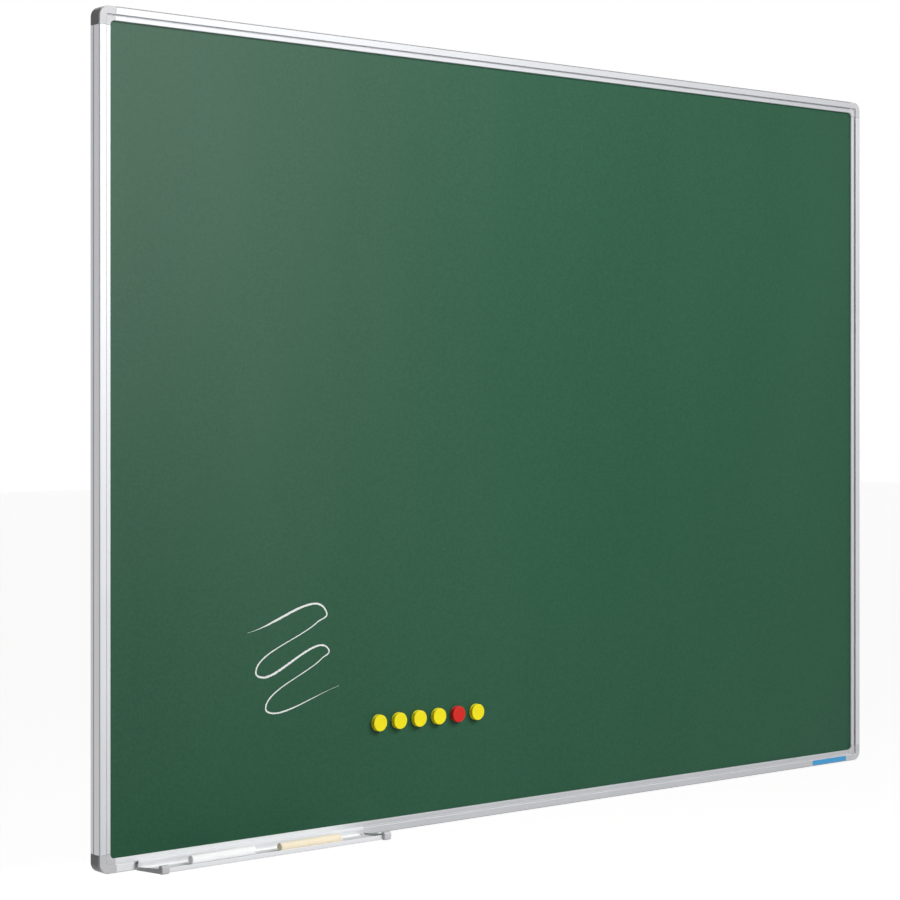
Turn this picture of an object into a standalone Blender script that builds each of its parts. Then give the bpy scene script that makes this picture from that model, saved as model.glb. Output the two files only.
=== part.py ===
"""Wall chalkboard: aluminium frame, corner caps, hook-on chalk tray, magnets, chalk and wall hooks.

Metres, +Z up. X runs along the board, the wall is the plane y = 0 and the writing side faces -Y.
The origin is the middle of the board on the wall plane.
Section drawings use two numbers: inset, the way in from the board's outer edge,
and depth, the way forward from the wall.
"""

import math

import bmesh
import bpy
from mathutils import Matrix, Vector
from mathutils.geometry import interpolate_bezier

# Overall size and the clearance between neighbouring pieces
BOARD_WIDTH = 1.200
BOARD_HEIGHT = 0.900
FIT_GAP = 0.0003

# Panel, from back to front
BACKING_THICKNESS = 0.0005
CORE_THICKNESS = 0.0063
SHEET_THICKNESS = 0.0006
PANEL_EDGE_ROOM = 0.0005

# Frame extrusion
RAIL_WALL = 0.0011
REAR_SPACE = 0.0036
PANEL_RECESS = 0.0050
OUTER_BAND_WIDTH = 0.0083
SLOT_WIDTH = 0.0014
INNER_BAND_WIDTH = 0.0049
BAND_STEP = 0.0022
OUTER_EDGE_RADIUS = 0.0010
BAND_EDGE_RADIUS = 0.0004
INNER_EDGE_RADIUS = 0.0007
FLANGE_OVERREACH = 0.0012
FOOT_INSET = 0.0066
LIP_REACH = 0.0061
SIDE_GROOVE_DEPTH = 0.0004
SIDE_GROOVE_WIDTH = 0.0009
SIDE_GROOVE_PLACE = 0.0060
CHAMBER_RADIUS = 0.0008

# Corner caps
OPENING_RADIUS = 0.0050
CAP_INNER_TURN = 0.0003
CAP_END_MARGIN = 0.0002
CAP_WALL = 0.0018
PEG_LENGTH = 0.0180
PEG_ROOT = 0.0025
PEG_TIP_LENGTH = 0.0030
PEG_TIP_SCALE = 0.80

# Corner screws
SCREW_RADIUS = 0.0011
SCREW_LENGTH = 0.0075
SCREW_POINT = 0.0015
SCREW_HEAD_RADIUS = 0.0022
SCREW_HEAD_HEIGHT = 0.0012
SCREW_FROM_CAP = 0.0090

# Wall hooks and clips
BRACKET_WIDTH = 0.040
BRACKET_PLATE_LENGTH = 0.030
BRACKET_FROM_SIDE = 0.150
BRACKET_CORNER_RADIUS = 0.005
BRACKET_HOLE_RADIUS = 0.0023
BRACKET_HOLE_PITCH = 0.014
HOOK_OVERLAP = 0.0032
BOARD_LIFT = 0.0035

# Chalk tray
TRAY_LENGTH = 0.300
TRAY_FROM_LEFT = 0.041
TRAY_DEPTH = 0.0505
TRAY_FOOT_HEIGHT = 0.0004
TRAY_TILT = math.radians(4.1)
TRAY_FLOOR = 0.0013
TRAY_LIP_HEIGHT = 0.0051
TRAY_LIP_RADIUS = 0.0012
BACK_WALL_STANDOFF = 0.0033
HOOK_BULGE = 0.0050
HOOK_RISE = 0.0034
HOOK_DROP = 0.0024

# End caps of the tray
PLATE_SETBACK = 0.0004
PLATE_THICKNESS = 0.0016
PLATE_REAR_HEIGHT = 0.0034
PLATE_FRONT_HEIGHT = 0.0054
BLOCK_WIDTH = 0.0105
BLOCK_DEPTH = 0.0072
BLOCK_HEIGHT = 0.0092
BLOCK_OVERHANG = 0.0040
BLOCK_DROP = 0.0004
BLOCK_CORNER_RADIUS = 0.0026
BLOCK_END_RADIUS = 0.0018
TAB_LENGTH = 0.0050
TAB_DEPTH = 0.0030
TAB_HEIGHT = 0.0010

# Magnets, in one row
MAGNET_COUNT = 6
MAGNET_PITCH = 0.0291
FIRST_MAGNET_FROM_LEFT = 0.3668
MAGNET_ROW_HEIGHT = 0.1245
MAGNET_RADIUS = 0.0094
MAGNET_HEIGHT = 0.0060
MAGNET_WAIST_DEPTH = 0.0008
MAGNET_RIM_HEIGHT = 0.0012
MAGNET_HEAD_HEIGHT = 0.0026
MAGNET_CORE_RADIUS = 0.0068
MAGNET_CORE_HEIGHT = 0.0032
RED_MAGNET = 5

# Chalk in the tray
CHALK_RADIUS = 0.0049
CHALK_TIP_RADIUS = 0.0045
CHALK_CHAMFER = 0.0003
WHITE_CHALK_LENGTH = 0.0805
YELLOW_CHALK_LENGTH = 0.0833
WHITE_CHALK_FROM_END = 0.0526
YELLOW_CHALK_FROM_END = 0.1624
WHITE_CHALK_OUT = 0.0270
YELLOW_CHALK_OUT = 0.0330

# Facets
ARC_STEPS = 4
CURVE_STEPS = 8
CORNER_STEPS = 12
ROUND_STEPS = 28
SMALL_ROUND_STEPS = 12
SMOOTH_ANGLE = math.radians(35)

# Depths that follow from the sizes above
FLANGE_FRONT = REAR_SPACE + RAIL_WALL
BACKING_BACK = FLANGE_FRONT + FIT_GAP
CORE_BACK = BACKING_BACK + BACKING_THICKNESS + FIT_GAP
SHEET_BACK = CORE_BACK + CORE_THICKNESS + FIT_GAP
PANEL_FRONT = SHEET_BACK + SHEET_THICKNESS
FRAME_DEPTH = PANEL_FRONT + PANEL_RECESS
STEP_DEPTH = FRAME_DEPTH - BAND_STEP
LEG_BACK = PANEL_FRONT + FIT_GAP
TONGUE = SLOT_WIDTH - 2 * FIT_GAP
GROOVE_FLOOR = FRAME_DEPTH - RAIL_WALL - TONGUE - 2 * FIT_GAP
CHAMBER_FRONT = GROOVE_FLOOR - RAIL_WALL
BRACKET_THICKNESS = REAR_SPACE - RAIL_WALL - 2 * FIT_GAP

# Insets that follow from the sizes above
WEB_OUTER = OUTER_BAND_WIDTH + SLOT_WIDTH
WEB_INNER = WEB_OUTER + RAIL_WALL
OPENING_EDGE = WEB_OUTER + INNER_BAND_WIDTH
PANEL_INSET = WEB_INNER + PANEL_EDGE_ROOM
FOOT_INNER = FOOT_INSET + RAIL_WALL
LIP_END = FOOT_INNER + LIP_REACH
CORNER_RADIUS = WEB_INNER + CAP_INNER_TURN
FILLET_CENTRE = OPENING_EDGE + OPENING_RADIUS
CAP_LEG = FILLET_CENTRE + CAP_END_MARGIN
SCREW_INSET = (RAIL_WALL + FOOT_INSET) / 2


def clear_scene():
    for thing in list(bpy.data.objects):
        bpy.data.objects.remove(thing, do_unlink=True)


def colour(red, green, blue):
    """Linear colour of an 8-bit screen colour."""

    def channel(value):
        value /= 255
        return value / 12.92 if value <= 0.04045 else ((value + 0.055) / 1.055) ** 2.4

    return (channel(red), channel(green), channel(blue), 1.0)


def material(name, base, roughness, metallic=0.0):
    finish = bpy.data.materials.new(name)
    finish.use_nodes = True
    shader = finish.node_tree.nodes["Principled BSDF"]
    shader.inputs["Base Color"].default_value = base
    shader.inputs["Roughness"].default_value = roughness
    shader.inputs["Metallic"].default_value = metallic
    return finish


def fillet(before, corner, after, radius):
    """Points of the arc that rounds a corner, held to half of the shorter side."""
    to_before = before - corner
    to_after = after - corner
    half_angle = to_before.angle(to_after) / 2
    room = min(to_before.length, to_after.length) / 2
    reach = min(radius / math.tan(half_angle), room)
    start = corner + to_before.normalized() * reach
    end = corner + to_after.normalized() * reach
    middle = (to_before.normalized() + to_after.normalized()).normalized()
    centre = corner + middle * (reach / math.cos(half_angle))
    turn = (end - centre).angle_signed(start - centre)
    spokes = [Matrix.Rotation(turn * k / ARC_STEPS, 2) @ (start - centre) for k in range(ARC_STEPS + 1)]
    return [centre + spoke for spoke in spokes]


def rounded(corners):
    """Outline through corners given as (x, y) or, where the corner is round, (x, y, radius)."""
    outline = []
    for index, corner in enumerate(corners):
        here = Vector(corner[:2])
        if len(corner) == 2:
            outline.append(here)
            continue
        before = Vector(corners[index - 1][:2])
        after = Vector(corners[(index + 1) % len(corners)][:2])
        outline += fillet(before, here, after, corner[2])
    return outline


def prism(points, run):
    """Closed solid from a flat outline in space, pushed along run."""
    shape = bmesh.new()
    face = shape.faces.new([shape.verts.new(point) for point in points])
    pushed = bmesh.ops.extrude_face_region(shape, geom=[face])["geom"]
    moved = [item for item in pushed if isinstance(item, bmesh.types.BMVert)]
    bmesh.ops.translate(shape, verts=moved, vec=run)
    bmesh.ops.recalc_face_normals(shape, faces=shape.faces)
    return shape


def turned(profile, steps):
    """Solid of revolution about Y. The profile is (radius, way forward) from axis to axis."""
    shape = bmesh.new()
    points = [shape.verts.new((radius, -forward, 0)) for radius, forward in profile]
    edges = [shape.edges.new(pair) for pair in zip(points, points[1:])]
    bmesh.ops.spin(
        shape,
        geom=points + edges,
        cent=(0, 0, 0),
        axis=(0, 1, 0),
        angle=math.tau,
        steps=steps,
        use_merge=True,
    )
    bmesh.ops.remove_doubles(shape, verts=shape.verts, dist=1e-6)
    bmesh.ops.recalc_face_normals(shape, faces=shape.faces)
    return shape


def lofted(rings):
    """Closed solid through rings of points, with flat ends."""
    shape = bmesh.new()
    loops = [[shape.verts.new(point) for point in ring] for ring in rings]
    count = len(loops[0])
    for first, second in zip(loops, loops[1:]):
        for index in range(count):
            following = (index + 1) % count
            shape.faces.new((first[index], first[following], second[following], second[index]))
    shape.faces.new(loops[0])
    shape.faces.new(loops[-1])
    bmesh.ops.recalc_face_normals(shape, faces=shape.faces)
    return shape


def mesh_from(name, shape):
    mesh = bpy.data.meshes.new(name)
    shape.to_mesh(mesh)
    shape.free()
    mesh.shade_smooth()
    mesh.set_sharp_from_angle(angle=SMOOTH_ANGLE)
    return mesh


def piece(name, mesh, finish, location=(0, 0, 0), turn=0.0, parent=None):
    """One named sub-part, turned about Y by turn."""
    thing = bpy.data.objects.new(name, mesh)
    bpy.context.scene.collection.objects.link(thing)
    if not mesh.materials:
        mesh.materials.append(finish)
    thing.location = location
    thing.rotation_euler.y = turn
    thing.parent = parent
    return thing


def carrier(name, location, parent=None):
    """Empty that moving pieces are parented to."""
    empty = bpy.data.objects.new(name, None)
    bpy.context.scene.collection.objects.link(empty)
    empty.location = location
    empty.parent = parent
    return empty


def tool(name, shape):
    """Hidden solid for a Boolean modifier."""
    thing = bpy.data.objects.new(name, mesh_from(name, shape))
    bpy.context.scene.collection.objects.link(thing)
    thing.hide_render = True
    thing.display_type = "WIRE"
    return thing


def boolean(thing, other, operation):
    modifier = thing.modifiers.new(operation.lower(), "BOOLEAN")
    modifier.operation = operation
    modifier.solver = "EXACT"
    modifier.object = other
    other.parent = thing


def drill(x, z, radius, near, far):
    """Cutter for a round hole along the depth direction."""
    shape = turned([(0, near), (radius, near), (radius, far), (0, far)], SMALL_ROUND_STEPS)
    bmesh.ops.translate(shape, verts=shape.verts, vec=(x, 0, z))
    return tool("hole_cutter", shape)


def rail_section():
    """Extrusion section as (inset, depth): front bands, hook slot, panel channel, rear lip."""
    groove_low = SIDE_GROOVE_PLACE - SIDE_GROOVE_WIDTH / 2
    groove_high = SIDE_GROOVE_PLACE + SIDE_GROOVE_WIDTH / 2
    band_back = FRAME_DEPTH - RAIL_WALL
    return rounded(
        [
            (0, 0),
            (0, groove_low),
            (SIDE_GROOVE_DEPTH, SIDE_GROOVE_PLACE),
            (0, groove_high),
            (0, FRAME_DEPTH, OUTER_EDGE_RADIUS),
            (OUTER_BAND_WIDTH, FRAME_DEPTH, BAND_EDGE_RADIUS),
            (OUTER_BAND_WIDTH, band_back),
            (RAIL_WALL, band_back),
            (RAIL_WALL, GROOVE_FLOOR),
            (WEB_OUTER, GROOVE_FLOOR),
            (WEB_OUTER, STEP_DEPTH, BAND_EDGE_RADIUS),
            (OPENING_EDGE, STEP_DEPTH, INNER_EDGE_RADIUS),
            (OPENING_EDGE, LEG_BACK),
            (OPENING_EDGE - RAIL_WALL, LEG_BACK),
            (OPENING_EDGE - RAIL_WALL, STEP_DEPTH - RAIL_WALL),
            (WEB_INNER, STEP_DEPTH - RAIL_WALL),
            (WEB_INNER, FLANGE_FRONT),
            (OPENING_EDGE + FLANGE_OVERREACH, FLANGE_FRONT),
            (OPENING_EDGE + FLANGE_OVERREACH, REAR_SPACE),
            (FOOT_INNER, REAR_SPACE),
            (FOOT_INNER, RAIL_WALL),
            (LIP_END, RAIL_WALL),
            (LIP_END, 0),
            (FOOT_INSET, 0),
            (FOOT_INSET, REAR_SPACE),
            (RAIL_WALL, REAR_SPACE),
            (RAIL_WALL, 0),
        ]
    )


def chamber_section(room):
    """Outline of the closed chamber behind the hook slot, drawn in by room on every side."""
    low = RAIL_WALL + room
    high = WEB_OUTER - room
    back = FLANGE_FRONT + room
    front = CHAMBER_FRONT - room
    corners = [(low, back), (low, front), (high, front), (high, back)]
    return rounded([(inset, depth, CHAMBER_RADIUS) for inset, depth in corners])


def rail(name, board_side, finish, location, turn):
    """Rail cut to run between two corner caps, with a screw hole near each end."""
    length = board_side - 2 * (CAP_LEG + FIT_GAP)
    outline = [(-length / 2, -depth, -inset) for inset, depth in rail_section()]
    mesh = mesh_from(name, prism(outline, (length, 0, 0)))
    thing = piece(name, mesh, finish, location, turn)
    start = length / 2 + RAIL_WALL
    bore = [(-start, -depth, -inset) for inset, depth in chamber_section(0)]
    boolean(thing, tool("chamber_cutter", prism(bore, (2 * start, 0, 0))), "DIFFERENCE")
    hole_place = board_side / 2 - CAP_LEG - SCREW_FROM_CAP
    for x in (-hole_place, hole_place):
        near = REAR_SPACE - RAIL_WALL
        hole = drill(x, -SCREW_INSET, SCREW_RADIUS + FIT_GAP, near, FLANGE_FRONT + FIT_GAP)
        boolean(thing, hole, "DIFFERENCE")
    return thing


def cap_section():
    """Section of a corner cap: the rail's front shape over an open moulded back."""
    return rounded(
        [
            (0, 0),
            (0, FRAME_DEPTH, OUTER_EDGE_RADIUS),
            (OUTER_BAND_WIDTH, FRAME_DEPTH, BAND_EDGE_RADIUS),
            (OUTER_BAND_WIDTH, GROOVE_FLOOR),
            (WEB_OUTER, GROOVE_FLOOR),
            (WEB_OUTER, STEP_DEPTH, BAND_EDGE_RADIUS),
            (OPENING_EDGE, STEP_DEPTH, INNER_EDGE_RADIUS),
            (OPENING_EDGE, LEG_BACK),
            (WEB_INNER, LEG_BACK),
            (WEB_INNER, REAR_SPACE),
            (WEB_INNER - CAP_WALL, REAR_SPACE),
            (WEB_INNER - CAP_WALL, LEG_BACK),
            (CAP_WALL, LEG_BACK),
            (CAP_WALL, 0),
        ]
    )


def cap_ring(section, angle=None, leg=None):
    """One cross-section of the corner cap. angle goes from the top leg (0) to the side leg."""
    ring = []
    for inset, depth in section:
        if angle is None:
            across = (CAP_LEG, inset) if leg == "top" else (inset, CAP_LEG)
            ring.append((across[0], -depth, -across[1]))
            continue
        way_in = Vector((math.sin(angle), math.cos(angle)))
        edge = Vector((CORNER_RADIUS, CORNER_RADIUS)) - way_in * (CORNER_RADIUS - min(inset, WEB_INNER))
        if inset > WEB_INNER:
            opening = Vector((FILLET_CENTRE, FILLET_CENTRE)) - way_in * OPENING_RADIUS
            edge = edge.lerp(opening, (inset - WEB_INNER) / (OPENING_EDGE - WEB_INNER))
        ring.append((edge.x, -depth, -edge.y))
    return ring


def peg_shape(along_side):
    """Tapered peg that fills the rail's chamber, on the top leg or on the side leg."""
    section = chamber_section(FIT_GAP)
    middle = Vector(((RAIL_WALL + WEB_OUTER) / 2, (FLANGE_FRONT + CHAMBER_FRONT) / 2))
    tip = [middle + (point - middle) * PEG_TIP_SCALE for point in section]
    stations = [
        (CAP_LEG - PEG_ROOT, section),
        (CAP_LEG + PEG_LENGTH - PEG_TIP_LENGTH, section),
        (CAP_LEG + PEG_LENGTH, tip),
    ]
    if along_side:
        return lofted([[(p.x, -p.y, -reach) for p in ring] for reach, ring in stations])
    return lofted([[(reach, -p.y, -p.x) for p in ring] for reach, ring in stations])


def corner_cap(name, finish, location, turn):
    """Moulded cap with two pegs, each with a pilot hole for a screw from behind."""
    section = cap_section()
    quarter = [math.pi / 2 * k / CORNER_STEPS for k in range(CORNER_STEPS + 1)]
    rings = [cap_ring(section, leg="top")]
    rings += [cap_ring(section, angle) for angle in quarter]
    rings.append(cap_ring(section, leg="side"))
    thing = piece(name, mesh_from(name, lofted(rings)), finish, location, turn)
    boolean(thing, tool("top_peg", peg_shape(False)), "UNION")
    boolean(thing, tool("side_peg", peg_shape(True)), "UNION")
    along = CAP_LEG + SCREW_FROM_CAP
    far = screw_tip() + FIT_GAP
    for x, z in ((along, -SCREW_INSET), (SCREW_INSET, -along)):
        boolean(thing, drill(x, z, SCREW_RADIUS + FIT_GAP, REAR_SPACE, far), "DIFFERENCE")
    return thing


def screw_tip():
    return REAR_SPACE - FIT_GAP + SCREW_LENGTH


def screw_shape():
    """Pan-head screw that points forward, its head behind the rail's rear flange."""
    seat = REAR_SPACE - FIT_GAP
    top = seat - SCREW_HEAD_HEIGHT
    tip = screw_tip()
    profile = [
        (0, top),
        (SCREW_HEAD_RADIUS * 0.7, top),
        (SCREW_HEAD_RADIUS, top + SCREW_HEAD_HEIGHT / 2),
        (SCREW_HEAD_RADIUS, seat),
        (SCREW_RADIUS, seat),
        (SCREW_RADIUS, tip - SCREW_POINT),
        (0, tip),
    ]
    return turned(profile, SMALL_ROUND_STEPS)


def corner_screws(finish):
    """Two screws at each corner, one in each of the cap's pegs."""
    along = CAP_LEG + SCREW_FROM_CAP
    mesh = mesh_from("corner_screw", screw_shape())
    number = 0
    for side in (-1, 1):
        for level in (-1, 1):
            for inset_x, inset_z in ((along, SCREW_INSET), (SCREW_INSET, along)):
                number += 1
                place = (side * (BOARD_WIDTH / 2 - inset_x), 0, level * (BOARD_HEIGHT / 2 - inset_z))
                piece(f"corner_screw_{number}", mesh, finish, place)


def panel_sheet(name, back, thickness, finish):
    """One layer of the panel, held in the channel of the four rails."""
    half_width = BOARD_WIDTH / 2 - PANEL_INSET
    half_height = BOARD_HEIGHT / 2 - PANEL_INSET
    corners = rounded(
        [
            (-half_width, -half_height, CAP_INNER_TURN),
            (half_width, -half_height, CAP_INNER_TURN),
            (half_width, half_height, CAP_INNER_TURN),
            (-half_width, half_height, CAP_INNER_TURN),
        ]
    )
    outline = [(x, 0, z) for x, z in corners]
    mesh = mesh_from(name, prism(outline, (0, -thickness, 0)))
    return piece(name, mesh, finish, (0, -back, 0))


def bracket(name, finish, x, level, tip, shoulder):
    """Joggled steel bracket. tip and shoulder are insets; the plate lies on the wall beyond them."""
    front = REAR_SPACE - FIT_GAP
    back = front - BRACKET_THICKNESS
    plate_start = shoulder + BRACKET_THICKNESS
    plate_end = plate_start + BRACKET_PLATE_LENGTH
    section = rounded(
        [
            (tip, back, BRACKET_THICKNESS / 4),
            (tip, front, BRACKET_THICKNESS / 4),
            (plate_start, front, back),
            (plate_start + back, BRACKET_THICKNESS, back),
            (plate_end, BRACKET_THICKNESS),
            (plate_end, 0),
            (shoulder, 0),
            (shoulder, back),
        ]
    )
    half = BRACKET_WIDTH / 2
    outline = [(-half, -depth, -inset) for inset, depth in section]
    shape = prism(outline, (BRACKET_WIDTH, 0, 0))
    corners = [
        edge
        for edge in shape.edges
        if all(abs(vert.co.z + plate_end) < 1e-6 for vert in edge.verts)
        and abs(edge.verts[0].co.x - edge.verts[1].co.x) < 1e-6
    ]
    bmesh.ops.bevel(
        shape, geom=corners, offset=BRACKET_CORNER_RADIUS, segments=ARC_STEPS, affect="EDGES", profile=0.5
    )
    turn = 0.0 if level > 0 else math.pi
    thing = piece(name, mesh_from(name, shape), finish, (x, 0, level * BOARD_HEIGHT / 2), turn)
    middle = plate_start + back + (plate_end - plate_start - back) / 2
    for offset in (-BRACKET_HOLE_PITCH / 2, BRACKET_HOLE_PITCH / 2):
        hole = drill(0, -middle - offset, BRACKET_HOLE_RADIUS, -FIT_GAP, BRACKET_THICKNESS + FIT_GAP)
        boolean(thing, hole, "DIFFERENCE")
    return thing


def wall_brackets(finish):
    """Two hooks above that carry the board and two clips below that keep it on the wall."""
    reach = BOARD_WIDTH / 2 - BRACKET_FROM_SIDE
    hook_tip = LIP_END - HOOK_OVERLAP
    hook_shoulder = LIP_END + FIT_GAP
    clip_tip = FOOT_INNER + BOARD_LIFT + FIT_GAP
    clip_shoulder = LIP_END + BOARD_LIFT + FIT_GAP
    for side, x in (("left", -reach), ("right", reach)):
        bracket("wall_hook_" + side, finish, x, 1, hook_tip, hook_shoulder)
        bracket("wall_clip_" + side, finish, x, -1, clip_tip, clip_shoulder)


def floor_under(out):
    """Height of the tray floor's underside, at a way out from the frame's face."""
    return TRAY_FOOT_HEIGHT + (out - FIT_GAP) * math.tan(TRAY_TILT)


def floor_top(out):
    return floor_under(out) + TRAY_FLOOR / math.cos(TRAY_TILT)


def lip_top():
    return floor_under(TRAY_DEPTH) + TRAY_LIP_HEIGHT


def hook_line():
    """Centre line of the tray's back wall, from the floor up, over and down behind the band."""
    slot_height = OUTER_BAND_WIDTH + SLOT_WIDTH / 2
    behind = -(RAIL_WALL + FIT_GAP + TONGUE / 2)
    low = Vector((BACK_WALL_STANDOFF, floor_top(BACK_WALL_STANDOFF) + TRAY_FLOOR))
    bulge = Vector((HOOK_BULGE, slot_height))
    slot = Vector((TONGUE, slot_height))
    rise = Vector((0, HOOK_RISE))
    ease = Vector((0, (bulge.y - low.y) / 3))
    wall = interpolate_bezier(low, low + ease, bulge - ease, bulge, CURVE_STEPS)
    over = interpolate_bezier(bulge, bulge + rise, slot + Vector((TONGUE * 2, 0)), slot, CURVE_STEPS)
    corner = fillet(slot, Vector((behind, slot_height)), Vector((behind, 0)), TONGUE * 0.6)
    end = Vector((behind, OUTER_BAND_WIDTH - HOOK_DROP))
    return [Vector(p) for p in wall] + [Vector(p) for p in over[1:]] + corner + [end]


def beside(line, distance):
    """The line moved sideways, to its right where distance is positive."""
    moved = []
    for index, point in enumerate(line):
        before = line[max(index - 1, 0)]
        after = line[min(index + 1, len(line) - 1)]
        along = (after - before).normalized()
        moved.append(point + Vector((along.y, -along.x)) * distance)
    return moved


def tray_section():
    """Tray extrusion as (way out from the frame's face, height above its lower edge)."""
    line = hook_line()
    front_face = beside(line, TONGUE / 2)
    rear_face = beside(line, -TONGUE / 2)
    inner = TRAY_DEPTH - TRAY_FLOOR
    floor_and_lip = rounded(
        [
            (FIT_GAP, floor_under(FIT_GAP)),
            (TRAY_DEPTH, floor_under(TRAY_DEPTH), TRAY_LIP_RADIUS),
            (TRAY_DEPTH, lip_top(), TRAY_FLOOR * 0.45),
            (inner, lip_top(), TRAY_FLOOR * 0.45),
            (inner, floor_top(inner), TRAY_LIP_RADIUS),
            (front_face[0].x, floor_top(front_face[0].x)),
            (rear_face[0].x, floor_top(rear_face[0].x)),
            (FIT_GAP, floor_top(FIT_GAP)),
        ]
    )
    return floor_and_lip[:-2] + front_face + rear_face[::-1] + floor_and_lip[-2:]


def chalk_tray(finish, parent):
    start = PLATE_SETBACK + PLATE_THICKNESS + 2 * FIT_GAP
    outline = [(start, -out, height) for out, height in tray_section()]
    length = TRAY_LENGTH - 2 * start
    mesh = mesh_from("chalk_tray", prism(outline, (length, 0, 0)))
    return piece("chalk_tray", mesh, finish, parent=parent)


def arm_outline():
    """Side view of an end cap's slim arm, from the tray's back wall into the block at the front."""
    back = HOOK_BULGE
    front = TRAY_DEPTH + BLOCK_OVERHANG - BLOCK_DEPTH / 2
    return rounded(
        [
            (front, floor_under(front) + PLATE_FRONT_HEIGHT),
            (back, floor_under(back) + PLATE_REAR_HEIGHT, PLATE_THICKNESS / 2),
            (back, floor_under(back), PLATE_THICKNESS / 4),
            (front, floor_under(front)),
        ]
    )


def block_outline(inset):
    """Side view of an end cap's rounded block, drawn in by inset."""
    nose = TRAY_DEPTH + BLOCK_OVERHANG
    back = nose - BLOCK_DEPTH
    low = floor_under(back) - BLOCK_DROP
    top = low + BLOCK_HEIGHT
    radius = BLOCK_CORNER_RADIUS - inset
    corners = [
        (back + inset, low + inset),
        (nose - inset, low + inset),
        (nose - inset, top - inset),
        (back + inset, top - inset),
    ]
    return rounded([(out, height, radius) for out, height in corners])


def lip_cutter_outline():
    """Clearance round the tray's floor and lip inside the block."""
    nose = TRAY_DEPTH + BLOCK_OVERHANG
    behind = nose - BLOCK_DEPTH - PLATE_THICKNESS
    inner = TRAY_DEPTH - TRAY_FLOOR - FIT_GAP
    outer = TRAY_DEPTH + FIT_GAP
    return rounded(
        [
            (behind, floor_under(behind) - BLOCK_DROP - PLATE_THICKNESS),
            (outer, floor_under(outer) - BLOCK_DROP - PLATE_THICKNESS),
            (outer, lip_top() + FIT_GAP),
            (inner, lip_top() + FIT_GAP),
            (inner, floor_top(inner) + FIT_GAP, TRAY_LIP_RADIUS),
            (behind, floor_top(behind) + FIT_GAP),
        ]
    )


def tab_outline():
    """Tab that lies on the tray's floor, in front of its back wall."""
    back = HOOK_BULGE + TONGUE / 2 + FIT_GAP
    front = back + TAB_DEPTH
    low = floor_top(front) + FIT_GAP
    return [(back, low), (front, low), (front, low + TAB_HEIGHT), (back, low + TAB_HEIGHT)]


def tray_end_cap(name, side, finish, parent):
    """side is -1 for the left cap and 1 for the right cap."""
    outer_x = 0.0 if side < 0 else TRAY_LENGTH
    inward = -side

    def placed(outline, start):
        return [(outer_x + inward * start, -out, height) for out, height in outline]

    def upright(outline, start, reach):
        return prism(placed(outline, start), (inward * reach, 0, 0))

    quarter = [math.pi / 2 * k / ARC_STEPS for k in range(ARC_STEPS + 1)]
    swell = [(BLOCK_END_RADIUS * (1 - math.cos(a)), BLOCK_END_RADIUS * (1 - math.sin(a))) for a in quarter]
    rings = [placed(block_outline(inset), start) for start, inset in swell]
    rings += [placed(block_outline(inset), BLOCK_WIDTH - start) for start, inset in reversed(swell)]
    thing = piece(name, mesh_from(name, lofted(rings)), finish, parent=parent)

    boolean(thing, tool("arm", upright(arm_outline(), PLATE_SETBACK, PLATE_THICKNESS)), "UNION")
    plate_end = PLATE_SETBACK + PLATE_THICKNESS
    cutter = upright(lip_cutter_outline(), plate_end + FIT_GAP, BLOCK_WIDTH)
    boolean(thing, tool("lip_cutter", cutter), "DIFFERENCE")
    root = PLATE_SETBACK + PLATE_THICKNESS / 2
    tab = upright(tab_outline(), root, plate_end - root + TAB_LENGTH)
    boolean(thing, tool("tab", tab), "UNION")
    return thing


def magnet_body_profile():
    waist = MAGNET_RADIUS - MAGNET_WAIST_DEPTH
    edge = MAGNET_WAIST_DEPTH / 2
    head = MAGNET_HEIGHT - MAGNET_HEAD_HEIGHT
    well = MAGNET_CORE_RADIUS + FIT_GAP
    return [
        (0, MAGNET_CORE_HEIGHT + FIT_GAP),
        (well, MAGNET_CORE_HEIGHT + FIT_GAP),
        (well, 0),
        (MAGNET_RADIUS - edge, 0),
        (MAGNET_RADIUS, edge),
        (MAGNET_RADIUS, MAGNET_RIM_HEIGHT),
        (waist, MAGNET_RIM_HEIGHT + edge),
        (waist, head - edge),
        (MAGNET_RADIUS, head),
        (MAGNET_RADIUS, MAGNET_HEIGHT - edge * 1.5),
        (MAGNET_RADIUS - edge * 0.5, MAGNET_HEIGHT - edge * 0.6),
        (MAGNET_RADIUS - edge * 1.6, MAGNET_HEIGHT - edge * 0.15),
        (0, MAGNET_HEIGHT),
    ]


def magnets(yellow, red, ferrite):
    """Six magnets in a row, each a waisted plastic body over a ferrite disc."""
    height = MAGNET_CORE_HEIGHT
    radius = MAGNET_CORE_RADIUS
    body_mesh = {}
    for number in range(1, MAGNET_COUNT + 1):
        finish = red if number == RED_MAGNET else yellow
        if finish.name not in body_mesh:
            body_mesh[finish.name] = mesh_from("magnet", turned(magnet_body_profile(), ROUND_STEPS))
        x = -BOARD_WIDTH / 2 + FIRST_MAGNET_FROM_LEFT + (number - 1) * MAGNET_PITCH
        z = -BOARD_HEIGHT / 2 + MAGNET_ROW_HEIGHT
        seat = carrier(f"magnet_seat_{number}", (x, -PANEL_FRONT - FIT_GAP, z))
        piece(f"magnet_cap_{number}", body_mesh[finish.name], finish, parent=seat)
        disc = turned([(0, 0), (radius, 0), (radius, height), (0, height)], ROUND_STEPS)
        piece(f"magnet_core_{number}", mesh_from("magnet_core", disc), ferrite, parent=seat)


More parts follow.
